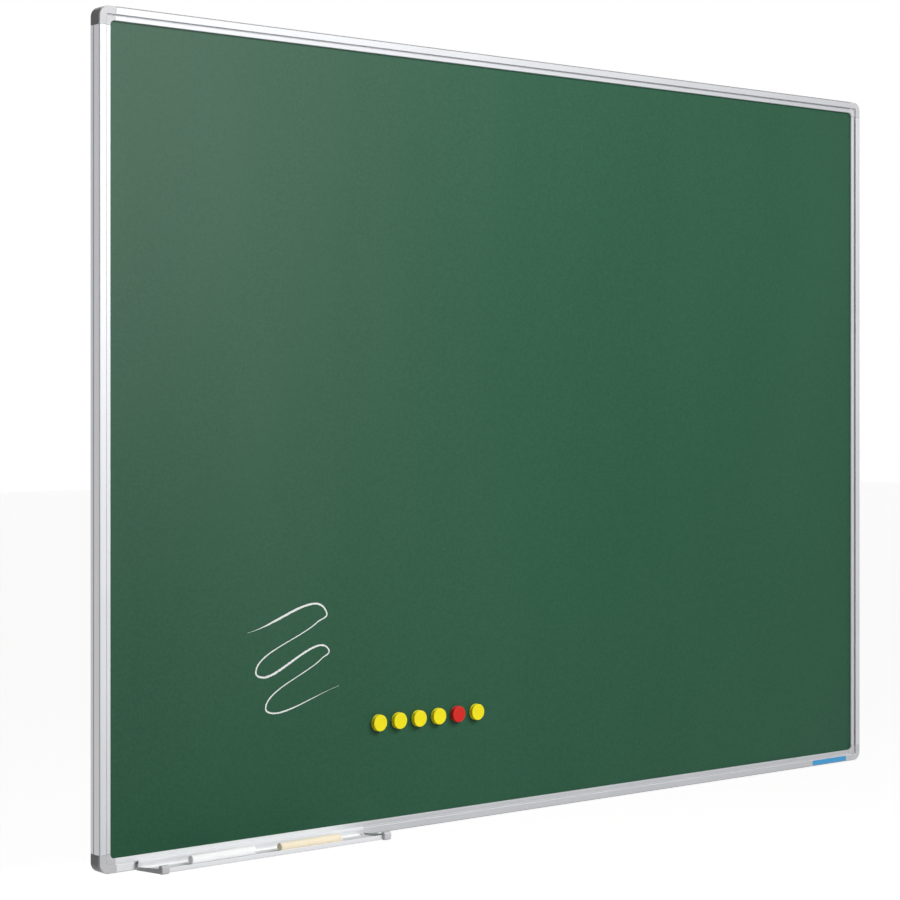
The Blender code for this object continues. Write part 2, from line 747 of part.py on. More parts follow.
def chalk_stick(name, length, from_end, out, finish, parent):
    """Slightly tapered stick that lies along the tray, on its floor, thick end to the right."""
    profile = [
        (0, 0),
        (CHALK_TIP_RADIUS - CHALK_CHAMFER, 0),
        (CHALK_TIP_RADIUS, CHALK_CHAMFER),
        (CHALK_RADIUS, length - CHALK_CHAMFER),
        (CHALK_RADIUS - CHALK_CHAMFER, length),
        (0, length),
    ]
    shape = turned(profile, ROUND_STEPS)
    shape.transform(Matrix.Rotation(math.pi / 2, 4, "Z"))
    taper = math.atan2(CHALK_RADIUS - CHALK_TIP_RADIUS, length - 2 * CHALK_CHAMFER)
    lift = (CHALK_TIP_RADIUS / math.cos(taper) + FIT_GAP) / math.cos(TRAY_TILT)
    place = (from_end, -out, floor_top(out) + lift)
    return piece(name, mesh_from(name, shape), finish, place, -taper, parent)


def build():
    clear_scene()
    board_green = material("board_green", colour(62, 101, 80), 0.55)
    aluminium = material("satin_aluminium", colour(214, 215, 217), 0.35, 0.9)
    cap_grey = material("grey_plastic", colour(176, 176, 178), 0.45)
    zinc = material("zinc_steel", colour(168, 171, 174), 0.4, 0.9)
    core = material("core_board", colour(170, 140, 104), 0.9)
    yellow = material("yellow_plastic", colour(232, 224, 40), 0.35)
    red = material("red_plastic", colour(226, 58, 44), 0.35)
    ferrite = material("ferrite", colour(58, 58, 60), 0.6)
    white_chalk = material("white_chalk", colour(246, 246, 244), 0.9)
    yellow_chalk = material("yellow_chalk", colour(244, 228, 196), 0.9)

    panel_sheet("backing_sheet", BACKING_BACK, BACKING_THICKNESS, zinc)
    panel_sheet("core_panel", CORE_BACK, CORE_THICKNESS, core)
    panel_sheet("writing_sheet", SHEET_BACK, SHEET_THICKNESS, board_green)

    right = BOARD_WIDTH / 2
    top = BOARD_HEIGHT / 2
    quarter = math.pi / 2
    rail("top_rail", BOARD_WIDTH, aluminium, (0, 0, top), 0)
    rail("right_stile", BOARD_HEIGHT, aluminium, (right, 0, 0), quarter)
    rail("bottom_rail", BOARD_WIDTH, aluminium, (0, 0, -top), 2 * quarter)
    rail("left_stile", BOARD_HEIGHT, aluminium, (-right, 0, 0), -quarter)
    corner_cap("corner_cap_top_left", cap_grey, (-right, 0, top), 0)
    corner_cap("corner_cap_top_right", cap_grey, (right, 0, top), quarter)
    corner_cap("corner_cap_bottom_right", cap_grey, (right, 0, -top), 2 * quarter)
    corner_cap("corner_cap_bottom_left", cap_grey, (-right, 0, -top), -quarter)
    corner_screws(zinc)
    wall_brackets(zinc)

    slide = carrier("tray_slide", (TRAY_FROM_LEFT - right, -FRAME_DEPTH, -top))
    chalk_tray(aluminium, slide)
    tray_end_cap("tray_end_cap_left", -1, cap_grey, slide)
    tray_end_cap("tray_end_cap_right", 1, cap_grey, slide)
    chalk_stick("chalk_white", WHITE_CHALK_LENGTH, WHITE_CHALK_FROM_END, WHITE_CHALK_OUT, white_chalk, slide)
    chalk_stick(
        "chalk_yellow", YELLOW_CHALK_LENGTH, YELLOW_CHALK_FROM_END, YELLOW_CHALK_OUT, yellow_chalk, slide
    )
    magnets(yellow, red, ferrite)


build()
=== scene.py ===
# %% [markdown]
# A chalkboard for a classroom wall
#
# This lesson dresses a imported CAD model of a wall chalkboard: a green enamelled
# steel sheet in a frame of aluminium extrusion, with plastic corner caps, a
# hook-on chalk tray, two sticks of chalk and six round magnets.
# The CAD model fixes every size and every joint. What is left for Blender is the
# look: the finish of each surface, and small forms too fine for the CAD model.
# Loading comes first, because every piece is placed from the model's own boxes.

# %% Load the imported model
import math

import bmesh
import bpy
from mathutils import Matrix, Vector


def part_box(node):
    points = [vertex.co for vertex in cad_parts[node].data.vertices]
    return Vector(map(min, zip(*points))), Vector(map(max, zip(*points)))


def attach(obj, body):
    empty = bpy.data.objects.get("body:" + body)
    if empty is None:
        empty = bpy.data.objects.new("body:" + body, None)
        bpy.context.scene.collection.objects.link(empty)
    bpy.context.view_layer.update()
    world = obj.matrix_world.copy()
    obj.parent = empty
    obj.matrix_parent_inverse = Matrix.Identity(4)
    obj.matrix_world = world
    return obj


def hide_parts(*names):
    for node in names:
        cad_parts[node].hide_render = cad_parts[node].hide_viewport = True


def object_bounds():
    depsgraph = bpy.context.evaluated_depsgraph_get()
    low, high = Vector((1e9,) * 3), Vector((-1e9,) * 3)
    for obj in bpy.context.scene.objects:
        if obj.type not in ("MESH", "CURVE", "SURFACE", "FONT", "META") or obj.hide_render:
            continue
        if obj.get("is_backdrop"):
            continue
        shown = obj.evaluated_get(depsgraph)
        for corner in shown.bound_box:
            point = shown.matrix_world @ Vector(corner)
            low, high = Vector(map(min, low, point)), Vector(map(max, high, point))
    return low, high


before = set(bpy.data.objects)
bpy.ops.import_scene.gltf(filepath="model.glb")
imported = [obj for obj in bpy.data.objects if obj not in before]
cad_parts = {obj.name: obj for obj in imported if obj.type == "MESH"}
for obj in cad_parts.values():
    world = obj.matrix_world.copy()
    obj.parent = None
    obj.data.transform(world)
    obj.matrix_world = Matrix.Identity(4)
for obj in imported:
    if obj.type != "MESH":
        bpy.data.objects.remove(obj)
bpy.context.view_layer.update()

# %% [markdown]
# The camera
#
# A wide board seen from the side shows strong perspective: its near edge is far
# taller in the picture than its far edge. That pair of heights fixes how far away
# the camera stands and how long its lens is, and both were solved from the
# four corners of the frame. The camera looks level, so upright edges stay upright.
# The board sits a little high in its picture, which a small lens shift gives
# without tilting the camera.

# %% Stand the camera where the photographer stood
IMAGE_SIDE = 900
FOCAL_LENGTH_PIXELS = 2255.7
HORIZON_ROW = 405.05
SENSOR_WIDTH = 36.0
CAMERA_PLACE = (-1.8073, -2.0425, 0.0359)
CAMERA_TURN = math.radians(-39.640)

bpy.ops.object.camera_add(location=CAMERA_PLACE, rotation=(math.pi / 2, 0, CAMERA_TURN))
camera = bpy.context.object
camera.name = "classroom_camera"
camera.data.sensor_width = SENSOR_WIDTH
camera.data.lens = FOCAL_LENGTH_PIXELS / IMAGE_SIDE * SENSOR_WIDTH
camera.data.shift_y = (HORIZON_ROW - IMAGE_SIDE / 2) / IMAGE_SIDE
bpy.context.scene.camera = camera
print("lens in mm:", round(camera.data.lens, 1), "shift:", round(camera.data.shift_y, 4))

# %% [markdown]
# Shader sums in plain Python
#
# A material is a graph of nodes, and its sums are easier to read as sums. The
# class below holds one output of the graph. Adding, subtracting or multiplying
# it adds the Math node that does the same, so a mask can be written as it is
# said: how strong the grain is, times how much of it shows.
# Every other node comes from one method, which takes the node's kind, the
# settings that it needs before it is wired, and what goes into its sockets.

# %% A number that changes over a surface
class Reading:
    """One output of a node graph, with Python's arithmetic."""

    def __init__(self, graph, socket):
        self.graph = graph
        self.socket = socket

    def worked(self, operation, *values):
        """Math node for one operation."""
        return self.graph.node("Math", {"operation": operation}, dict(enumerate(values)))

    def __add__(self, other):
        return self.worked("ADD", self, other)

    def __sub__(self, other):
        return self.worked("SUBTRACT", self, other)

    def __mul__(self, other):
        return self.worked("MULTIPLY", self, other)

    def __pow__(self, other):
        return self.worked("POWER", self, other)

    def __rsub__(self, other):
        return self.worked("SUBTRACT", other, self)

    def __neg__(self):
        return self.worked("MULTIPLY", self, -1.0)

    def __abs__(self):
        return self.worked("ABSOLUTE", self)

    def at_least(self, floor):
        """The value, or floor where it is lower."""
        return self.worked("MAXIMUM", self, floor)

    __radd__ = __add__
    __rmul__ = __mul__


# %% A graph that adds any other node
class Graph:
    """Node tree of a material or of the world."""

    def __init__(self, tree):
        self.tree = tree

    def node(self, kind, settings=None, inputs=None, output=0):
        made = self.tree.nodes.new("ShaderNode" + kind)
        for name, value in (settings or {}).items():
            setattr(made, name, value)
        for name, value in (inputs or {}).items():
            if isinstance(value, Reading):
                self.tree.links.new(value.socket, made.inputs[name])
            else:
                made.inputs[name].default_value = value
        return Reading(self, made.outputs[output])

    def blend(self, amount, first, second):
        """Colour between two colours."""
        return self.node("Mix", {"data_type": "RGBA"}, {0: amount, 6: first, 7: second}, 2)

    def between(self, value, low, high):
        """0 below low, 1 above high, and a soft step from one to the other."""
        return self.node(
            "MapRange",
            {"interpolation_type": "SMOOTHSTEP"},
            {"Value": value, "From Min": low, "From Max": high},
        )

    def looked_at(self):
        """1 to the camera, in a reflection or through glass, and 0 to light on its way."""
        camera, mirrored, through = [
            self.node("LightPath", output="Is %s Ray" % kind)
            for kind in ("Camera", "Glossy", "Transmission")
        ]
        return camera + mirrored + through


# %% [markdown]
# Patterns in real sizes
#
# Every object sits at the origin and is measured in metres, so its Object
# coordinates are its real sizes. A pattern's scale is then its number of cells in a
# metre: 400 gives a grain of 2.5 mm. Stretching the coordinates turns round grains
# into lines, which is how the die marks of an extrusion are made.

# %% A material with patterns measured in metres
class Finish(Graph):
    """Principled material, with the patterns that this board's finishes share."""

    def __init__(self, name):
        self.material = bpy.data.materials.new(name)
        self.material.use_nodes = True
        super().__init__(self.material.node_tree)
        self.shader = self.tree.nodes["Principled BSDF"]

    def set(self, **values):
        """Give the shader's sockets values or links. A _ in a name stands for a space."""
        for name, value in values.items():
            socket = self.shader.inputs[name.replace("_", " ")]
            if isinstance(value, Reading):
                self.tree.links.new(value.socket, socket)
            else:
                socket.default_value = value

    def place(self, stretch=(1, 1, 1)):
        here = self.node("TexCoord", output="Object")
        if stretch == (1, 1, 1):
            return here
        return self.node("Mapping", {}, {"Vector": here, "Scale": stretch})

    def grain(self, per_metre, detail=2.0, stretch=(1, 1, 1)):
        """Noise around 0.5, with a number of grains to the metre."""
        return self.node(
            "TexNoise",
            {},
            {"Vector": self.place(stretch), "Scale": per_metre, "Detail": detail},
        )

    def along(self, axis):
        """One coordinate of the surface, in metres."""
        return self.node("SeparateXYZ", {}, {"Vector": self.place()}, axis)

    def ahead(self):
        """How far a point stands in front of the wall, in metres."""
        return -self.along("Y")

    def relief(self, height, depth):
        """Fine relief, depth in metres, on the shader's normal."""
        bumped = self.node("Bump", {}, {"Height": height, "Distance": depth, "Strength": 1.0})
        self.set(Normal=bumped)


# %% Colours as they look on a screen
def linear(channel):
    """Amount of light behind a screen value between 0 and 1, by the sRGB curve."""
    return channel / 12.92 if channel <= 0.04045 else ((channel + 0.055) / 1.055) ** 2.4


def screen(red, green, blue):
    """Linear colour of an 8-bit screen colour."""
    return (*[linear(value / 255) for value in (red, green, blue)], 1.0)


def paint(finish, *names):
    """Give CAD nodes a finish in place of the plain one."""
    for name in names:
        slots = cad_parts[name].data.materials
        slots.clear()
        slots.append(finish.material)
    print(finish.material.name, "on", len(names), "nodes")


# %% [markdown]
# The writing surface
#
# A chalkboard sheet is steel with matt green enamel, fired to a fine tooth that
# takes chalk. Close to, it has a grain of a few millimetres. From across the room
# it has a faint haze where chalk has been wiped away in long strokes.
# Both are weak, so they are mixed between two greens that are nearly the same.
# A pale colour is painted over them, strongest at the upper left, as a painted sheen.
# The sheen is broad: the enamel is rough, but the steel below is very flat.

# %% Green enamel
DEEP_GREEN = screen(22, 71, 48)
PALE_GREEN = screen(44, 88, 66)
PAINTED_SHEEN_WHITE = screen(236, 236, 232)
PAINTED_SHEEN_COVER = 0.037
PAINTED_SHEEN_LEFT_TO_RIGHT = (-0.66, 0.16)
PAINTED_SHEEN_BOTTOM_TO_TOP = (-0.56, 0.36)
TOOTH_CONTRAST, WIPED_CONTRAST = 0.95, 0.8
ENAMEL_ROUGHNESS = 0.50
ENAMEL_SHEEN = 0.16
TOOTH_DEPTH = 0.00002

enamel = Finish("writing_enamel")
tooth = enamel.grain(330, detail=3.0)
wiped = enamel.grain(3.0, detail=4.0, stretch=(1, 1, 0.35))
tone = 0.5 + (tooth - 0.5) * TOOTH_CONTRAST + (wiped - 0.5) * WIPED_CONTRAST
green = enamel.blend(tone, DEEP_GREEN, PALE_GREEN)
# Painted sheen: the green is painted paler towards the upper left.
leftward = 1.0 - enamel.between(enamel.along("X"), *PAINTED_SHEEN_LEFT_TO_RIGHT)
upward = enamel.between(enamel.along("Z"), *PAINTED_SHEEN_BOTTOM_TO_TOP)
painted_sheen = leftward * upward * (0.6 + wiped * 0.8) * PAINTED_SHEEN_COVER
enamel.set(
    Base_Color=enamel.blend(painted_sheen, green, PAINTED_SHEEN_WHITE),
    Roughness=ENAMEL_ROUGHNESS + (wiped - 0.5) * 0.10,
    Specular_IOR_Level=ENAMEL_SHEEN,
)
enamel.relief(enamel.grain(2600), TOOTH_DEPTH)
paint(enamel, "writing_sheet")

# %% [markdown]
# The extrusion
#
# Satin anodised aluminium is a metal under a thin clear skin. The die leaves faint
# lines along the whole length of the rail, and etching before anodising leaves an
# even, dry bloom over them. The lines are noise stretched hard along the rail, so
# rails that run across the board and rails that stand upright need their own.
# A thin darker line is painted along the section's outer corner all the way round the
# frame, as painted shade. The narrow groove in the frame's side is painted darker in
# the same way, as painted shade. The outer side is painted brighter than the face, as
# painted light.
# The lower rail is painted paler and less metallic at its left, as painted light, and
# its slot is painted bright, as a painted highlight.
# The tray is anodised paler, close to white. Chalk dust lies in the lowest part of
# its trough, and makes it paler there, also as painted light on that upward floor.

# %% Satin aluminium, along the board and up the board
HALF_WIDTH, HALF_HEIGHT = 0.600, 0.450
LINES_ALONG, LINES_ACROSS = 1.5, 900.0
BLOOM_GRAINS, PATCH_GRAINS = 1800, 14
SATIN_ROUGHNESS = 0.63
SATIN_DEPTH = 0.000012


def satin_aluminium(name, along, dark, light, metallic):
    """Anodised finish whose die lines run along one axis, and its colour."""
    stretch = tuple(LINES_ALONG if axis == along else LINES_ACROSS for axis in "XYZ")
    finish = Finish(name)
    die_lines = finish.grain(1.0, detail=3.0, stretch=stretch)
    bloom = finish.grain(BLOOM_GRAINS)
    patch = finish.grain(PATCH_GRAINS)
    shade = 0.5 + (die_lines - 0.5) * 0.5 + (bloom - 0.5) * 0.35 + (patch - 0.5) * 0.3
    metal = finish.blend(shade, dark, light)
    finish.set(
        Base_Color=metal,
        Metallic=metallic,
        Roughness=SATIN_ROUGHNESS + (die_lines - 0.5) * 0.12 + (bloom - 0.5) * 0.08,
    )
    finish.relief(die_lines * 0.6 + bloom * 0.4, SATIN_DEPTH)
    return finish, metal


# %% Painted light and shade on a rail's outer corner, side and groove
FRONT_FACE = 0.018
CORNER_BAND = 0.0017
GROOVE_PLACE = 0.0060
GROOVE_HALF = 0.00045
PAINTED_SHADE_GREY = screen(96, 94, 92)
GROOVE_PAINTED_SHADE = 0.8
PAINTED_SIDE_LIGHT = screen(226, 227, 230)
PAINTED_SIDE_LIGHT_COVER = 0.9


def paint_rail_light_and_shade(finish, metal, axis, edge, corner_shade):
    """Painted light on the side of a rail at edge along axis, painted shade on its corner (last
    argument) and groove.
    """
    out = finish.between(abs(finish.along(axis)), edge - CORNER_BAND, edge - CORNER_BAND / 3)
    ahead = finish.ahead()
    forward = finish.between(ahead, FRONT_FACE - CORNER_BAND, FRONT_FACE - CORNER_BAND / 3)
    # Painted light: the outer side of the rail is painted brighter than its face.
    metal = finish.blend(out * (1.0 - forward) * PAINTED_SIDE_LIGHT_COVER, metal, PAINTED_SIDE_LIGHT)
    corner = out * forward
    from_groove = abs(ahead - GROOVE_PLACE)
    groove = out * (1.0 - finish.between(from_groove, GROOVE_HALF, 2 * GROOVE_HALF))
    # Painted shade: a dark line along the outer corner, as dark as the last argument, and in the
    # side groove.
    finish.set(Base_Color=finish.blend(corner * corner_shade + groove * GROOVE_PAINTED_SHADE, metal, PAINTED_SHADE_GREY))


# %% The four rails
FRAME_METALLIC = 0.72
# Painted shade: the rails that run across are painted darker than the upright ones.
ACROSS_PAINTED_DARKER = (screen(170, 171, 174), screen(190, 191, 194))
UPRIGHT = (screen(184, 185, 188), screen(204, 205, 208))
PAINTED_LIGHT_LEFT_TO_RIGHT = (-0.320, -0.235)
PAINTED_LIGHT_COLOUR, PAINTED_LIGHT_COVER = screen(238, 239, 241), 0.85
PAINTED_LIGHT_DULLS = 0.6
SLOT_HEIGHT, SLOT_HALF = 0.4410, 0.0007
SLOT_HIGHLIGHT_COLOUR, SLOT_HIGHLIGHT_COVER = screen(250, 250, 251), 0.38

aluminium_top, metal = satin_aluminium("anodised_aluminium_top", "X", *ACROSS_PAINTED_DARKER, FRAME_METALLIC)
paint_rail_light_and_shade(aluminium_top, metal, "Z", HALF_HEIGHT, 0.9)

aluminium_low, metal = satin_aluminium("anodised_aluminium_low", "X", *ACROSS_PAINTED_DARKER, FRAME_METALLIC)
# Painted light: the lower rail is painted paler and less metallic at its left.
painted_light_left = 1.0 - aluminium_low.between(aluminium_low.along("X"), *PAINTED_LIGHT_LEFT_TO_RIGHT)
metal = aluminium_low.blend(painted_light_left * PAINTED_LIGHT_COVER, metal, PAINTED_LIGHT_COLOUR)
# Painted highlight: the slot of the lower rail is painted bright.
from_slot = abs(abs(aluminium_low.along("Z")) - SLOT_HEIGHT)
slot_highlight = 1.0 - aluminium_low.between(from_slot, SLOT_HALF, 2 * SLOT_HALF)
metal = aluminium_low.blend(slot_highlight * SLOT_HIGHLIGHT_COVER, metal, SLOT_HIGHLIGHT_COLOUR)
paint_rail_light_and_shade(aluminium_low, metal, "Z", HALF_HEIGHT, 0.3)
aluminium_low.set(Metallic=FRAME_METALLIC - painted_light_left * PAINTED_LIGHT_DULLS)

aluminium_upright, metal = satin_aluminium(
    "anodised_aluminium_upright", "Z", *UPRIGHT, FRAME_METALLIC
)
paint_rail_light_and_shade(aluminium_upright, metal, "X", HALF_WIDTH, 0.35)
rail_finishes = (aluminium_top, aluminium_low, aluminium_upright)
print("nodes in the rails' finishes:", [len(finish.tree.nodes) for finish in rail_finishes])

# %% The same metal for the tray, with dust and painted light on its floor
tray_low, tray_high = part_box("chalk_tray")
DUST_AND_LIGHT_HEIGHT = 0.004
DUST_AND_LIGHT_COLOUR = screen(246, 245, 240)
TRAY_PALE = (screen(220, 221, 224), screen(234, 235, 238))
TRAY_METALLIC = 0.15

aluminium_tray, metal = satin_aluminium("anodised_aluminium_tray", "X", *TRAY_PALE, TRAY_METALLIC)
# Chalk dust and painted light: the floor of the trough is painted paler and less metallic.
below = -aluminium_tray.along("Z")
settled = aluminium_tray.between(below, -tray_low.z - DUST_AND_LIGHT_HEIGHT, -tray_low.z)
powder = aluminium_tray.between(aluminium_tray.grain(260, detail=4.0), 0.48, 0.72)
drift = aluminium_tray.between(aluminium_tray.grain(22), 0.40, 0.65)
dust_and_light = settled * (0.6 + powder * drift * 0.4)
aluminium_tray.set(
    Base_Color=aluminium_tray.blend(dust_and_light, metal, DUST_AND_LIGHT_COLOUR),
    Metallic=TRAY_METALLIC - dust_and_light * TRAY_METALLIC,
)
print("dust up to", round(1000 * DUST_AND_LIGHT_HEIGHT, 1), "mm above the lowest part of the tray")

# %% [markdown]
# Moulded grey plastic
#
# The corner caps and the ends of the tray are moulded with a spark-eroded grain,
# which keeps fingerprints from showing. The grain is relief first, and a slight
# speckle in the colour second, where light catches the peaks. The outer sides of the
# corner caps are painted darker, from the wall to the step in their face, as painted
# shade. How far a point lies outside comes from the centre that the cap is rounded about.

# %% Grey plastic of the caps
PLASTIC_ROUGHNESS, PLASTIC_SHEEN = 0.50, 0.2
EROSION_DEPTH = 0.00004
CAP_STEP, STEP_FADE = 0.0157, 0.0012
CAP_ROUNDING, SIDE_SKIN = 0.0111, 0.0010
SIDE_SHADE_COLOUR, SIDE_SHADE_COVER = screen(140, 140, 143), 0.75


def outer_side(finish):
    """1 on the outer sides of the corner caps, 0 on their faces and insides."""
    across = (abs(finish.along("X")) - (HALF_WIDTH - CAP_ROUNDING)).at_least(0.0)
    upward = (abs(finish.along("Z")) - (HALF_HEIGHT - CAP_ROUNDING)).at_least(0.0)
    from_centre = (across * across + upward * upward) ** 0.5
    outside = finish.between(from_centre, CAP_ROUNDING - SIDE_SKIN, CAP_ROUNDING - SIDE_SKIN / 2)
    return outside * (1.0 - finish.between(finish.ahead(), CAP_STEP - STEP_FADE, CAP_STEP))


def moulded_grey(name, dark, light, side_shade):
    """Grained plastic. The last argument is how much darker its outer sides are painted, as
    painted shade.
    """
    finish = Finish(name)
    erosion = finish.grain(1500)
    flow = finish.grain(60)
    speckle = 0.5 + (erosion - 0.5) * 0.9 + (flow - 0.5) * 0.3
    colour = finish.blend(speckle, dark, light)
    # Painted shade: the outer sides of the caps are painted darker.
    if side_shade:
        colour = finish.blend(outer_side(finish) * side_shade, colour, SIDE_SHADE_COLOUR)
    finish.set(
        Base_Color=colour,
        Roughness=PLASTIC_ROUGHNESS + (erosion - 0.5) * 0.2,
        Specular_IOR_Level=PLASTIC_SHEEN,
    )
    finish.relief(erosion, EROSION_DEPTH)
    print(name, "of", len(finish.tree.nodes), "nodes")
    return finish


cap_grey = moulded_grey(
    "corner_plastic", screen(178, 178, 181), screen(220, 220, 223), SIDE_SHADE_COVER
)
end_grey = moulded_grey("tray_plastic", screen(182, 182, 185), screen(220, 220, 223), 0)

# %% [markdown]
# Zinc, put on in two ways
#
# The backing sheet is hot-dip galvanised, and its zinc froze in flat crystals of
# nearly a centimetre, each turned its own way, so each has its own brightness.
# The brackets and screws are plated instead, which leaves a fine even grey.

# %% Galvanised sheet and plated steel
CRYSTALS_PER_METRE = 130.0
ZINC_DEPTH = 0.00002
ZINC_COLOURS = (screen(168, 171, 174), screen(192, 195, 198))
PLATED_COLOURS = (screen(150, 154, 160), screen(190, 193, 197))

galvanised = Finish("galvanised_sheet")
crystal = galvanised.node(
    "TexVoronoi",
    {},
    {"Vector": galvanised.place(), "Scale": CRYSTALS_PER_METRE, "Randomness": 1.0},
    "Color",
)
facing = galvanised.node("SeparateColor", {}, {"Color": crystal}, "Red")
frost = galvanised.grain(700, detail=3.0)
galvanised.set(
    Base_Color=galvanised.blend(facing * 0.7 + frost * 0.3, *ZINC_COLOURS),
    Metallic=0.8,
    Roughness=0.36 + facing * 0.16 + (frost - 0.5) * 0.08,
)
galvanised.relief(frost, ZINC_DEPTH)
paint(galvanised, "backing_sheet")

plated = Finish("zinc_plating")
cloud = plated.grain(120, detail=3.0)
pores = plated.grain(2500)
plated.set(
    Base_Color=plated.blend(0.5 + (cloud - 0.5) * 0.9, *PLATED_COLOURS),
    Metallic=0.95,
    Roughness=0.34 + (cloud - 0.5) * 0.2 + (pores - 0.5) * 0.1,
)
plated.relief(pores, ZINC_DEPTH)

# %% [markdown]
# What is inside
#
# The core of the panel is raw fibre board, and only its edges could ever be seen.
# The magnets hide a disc of ground ferrite, nearly black with fine bright specks.

# %% Fibre board and ferrite
STRAND_DEPTH = 0.0001
FERRITE_DEPTH = 0.00002
FERRITE_COLOURS = (screen(52, 52, 55), screen(96, 96, 100))

fibre = Finish("core_board")
strand = fibre.grain(350, detail=4.0, stretch=(1, 0.25, 1))
fibre.set(
    Base_Color=fibre.blend(strand, screen(146, 116, 82), screen(190, 160, 122)),
    Roughness=0.88 + (strand - 0.5) * 0.1,
)
fibre.relief(strand, STRAND_DEPTH)
paint(fibre, "core_panel")

ferrite = Finish("ferrite")
speck = ferrite.grain(3000)
ferrite.set(
    Base_Color=ferrite.blend(ferrite.between(speck, 0.62, 0.75), *FERRITE_COLOURS),
    Roughness=0.5 + (speck - 0.5) * 0.2,
)
ferrite.relief(speck, FERRITE_DEPTH)
paint(ferrite, *[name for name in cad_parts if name.startswith("magnet_core")])

# %% [markdown]
# Plastic of the magnets and powder of the chalk
#
# Both are one colour all through, and differ in their surface. The magnets come
# smooth from their mould, with a skin like fine orange peel and a soft gloss. The
# chalk is pressed powder: it has no gloss, and its relief is several times deeper.

# %% Smooth plastic and dry powder
PEEL_DEPTH = 0.00002
POWDER_DEPTH = 0.00012


def magnet_plastic(name, deep, bright):
    """Smooth coloured plastic."""
    finish = Finish(name)
    swirl = finish.grain(90, detail=3.0)
    peel = finish.grain(800, detail=1.0)
    finish.set(
        Base_Color=finish.blend(0.5 + (swirl - 0.5) * 0.8, deep, bright),
        Roughness=0.40 + (swirl - 0.5) * 0.1,
        Specular_IOR_Level=0.3,
    )
    finish.relief(peel, PEEL_DEPTH)
    return finish


def pressed_powder(name, deep, bright):
    """Dry chalk."""
    finish = Finish(name)
    powder = finish.grain(1400, detail=4.0)
    rub = finish.grain(160, detail=3.0)
    finish.set(
        Base_Color=finish.blend(0.5 + (powder - 0.5) * 0.5 + (rub - 0.5) * 0.9, deep, bright),
        Roughness=0.93,
        Specular_IOR_Level=0.2,
    )
    finish.relief(powder, POWDER_DEPTH)
    return finish


yellow_plastic = magnet_plastic("yellow_plastic", screen(234, 218, 8), screen(250, 236, 22))
red_plastic = magnet_plastic("red_plastic", screen(196, 24, 12), screen(216, 36, 22))
white_powder = pressed_powder("white_chalk", screen(252, 252, 252), screen(255, 255, 255))
yellow_powder = pressed_powder("yellow_chalk", screen(249, 231, 198), screen(255, 246, 226))
print(len(bpy.data.materials), "materials so far")

# %% [markdown]
# Working in edit mode
#
# The pieces that replace CAD nodes are modelled here with Blender's own tools.
# Each tool acts on what is selected, so every piece starts by clearing the
# selection, and ends in one closing step: doubles merged, normals turned outward,
# the place moved into the mesh, and edges below an angle shaded smooth.
# Modifiers are applied one at a time, as soon as they are set, so each works on the
# mesh that the one before it left.

# %% Start and close a piece
MERGE_DISTANCE = 0.000002
CLEARANCE = 0.00003
EDGE_ANGLE = 35


def leave_edit_mode():
    """Go back to object mode if a mesh is open."""
    if bpy.context.object.mode != "OBJECT":
        bpy.ops.object.mode_set(mode="OBJECT")


def pick(thing):
    """Select one object alone."""
    leave_edit_mode()
    bpy.ops.object.select_all(action="DESELECT")
    thing.select_set(True)
    bpy.context.view_layer.objects.active = thing


def edit(thing):
    """Open one object with all of its mesh selected."""
    pick(thing)
    bpy.ops.object.mode_set(mode="EDIT")
    bpy.ops.mesh.select_all(action="SELECT")


def modify(kind, **settings):
    """Add a modifier to the active object and apply it."""
    bpy.ops.object.modifier_add(type=kind)
    modifier = bpy.context.object.modifiers[-1]
    for name, value in settings.items():
        setattr(modifier, name, value)
    bpy.ops.object.modifier_apply(modifier=modifier.name)


def close(thing, finish, body, replaced=None, smooth=EDGE_ANGLE):
    edit(thing)
    bpy.ops.mesh.remove_doubles(threshold=MERGE_DISTANCE)
    bpy.ops.mesh.normals_make_consistent(inside=False)
    bpy.ops.object.mode_set(mode="OBJECT")
    bpy.ops.object.transform_apply(location=True, rotation=True, scale=True)
    bpy.ops.object.shade_smooth_by_angle(angle=math.radians(smooth))
    thing.data.materials.clear()
    thing.data.materials.append(finish.material)
    if replaced:
        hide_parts(replaced)
    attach(thing, body)


# %% [markdown]
# A lathe
#
# Magnets, chalk and screws are all turned: one line of points, spun round an axis.
# The line grows from a single vertex, one extrusion for each corner of the profile.

# %% Turn a profile round an axis
SEED_SIZE = 0.001


def turned(name, start, direction, outward, profile, steps):
    """Profile of (radius, distance along the axis) pairs, spun round the line from start."""
    direction, outward = Vector(direction).normalized(), Vector(outward)
    outward = (outward - direction * outward.dot(direction)).normalized()
    points = [Vector(start) + outward * radius + direction * along for radius, along in profile]
    bpy.ops.object.select_all(action="DESELECT")
    bpy.ops.mesh.primitive_plane_add(size=SEED_SIZE, location=points[0])
    thing = bpy.context.object
    thing.name = name
    edit(thing)
    bpy.ops.mesh.merge(type="CENTER")
    for here, there in zip(points, points[1:]):
        bpy.ops.mesh.extrude_vertices_move(TRANSFORM_OT_translate={"value": tuple(there - here)})
    bpy.ops.mesh.select_all(action="SELECT")
    bpy.ops.mesh.spin(steps=steps, angle=math.tau, center=tuple(start), axis=tuple(direction))
    bpy.ops.mesh.remove_doubles(threshold=MERGE_DISTANCE)
    bpy.ops.object.mode_set(mode="OBJECT")
    return thing


def copied(thing, name, step):
    """Another of the same piece, with a mesh of its own, moved by step."""
    pick(thing)
    bpy.ops.object.duplicate()
    twin = bpy.context.object
    twin.name = name
    edit(twin)
    bpy.ops.transform.translate(value=step)
    bpy.ops.object.mode_set(mode="OBJECT")
    return twin


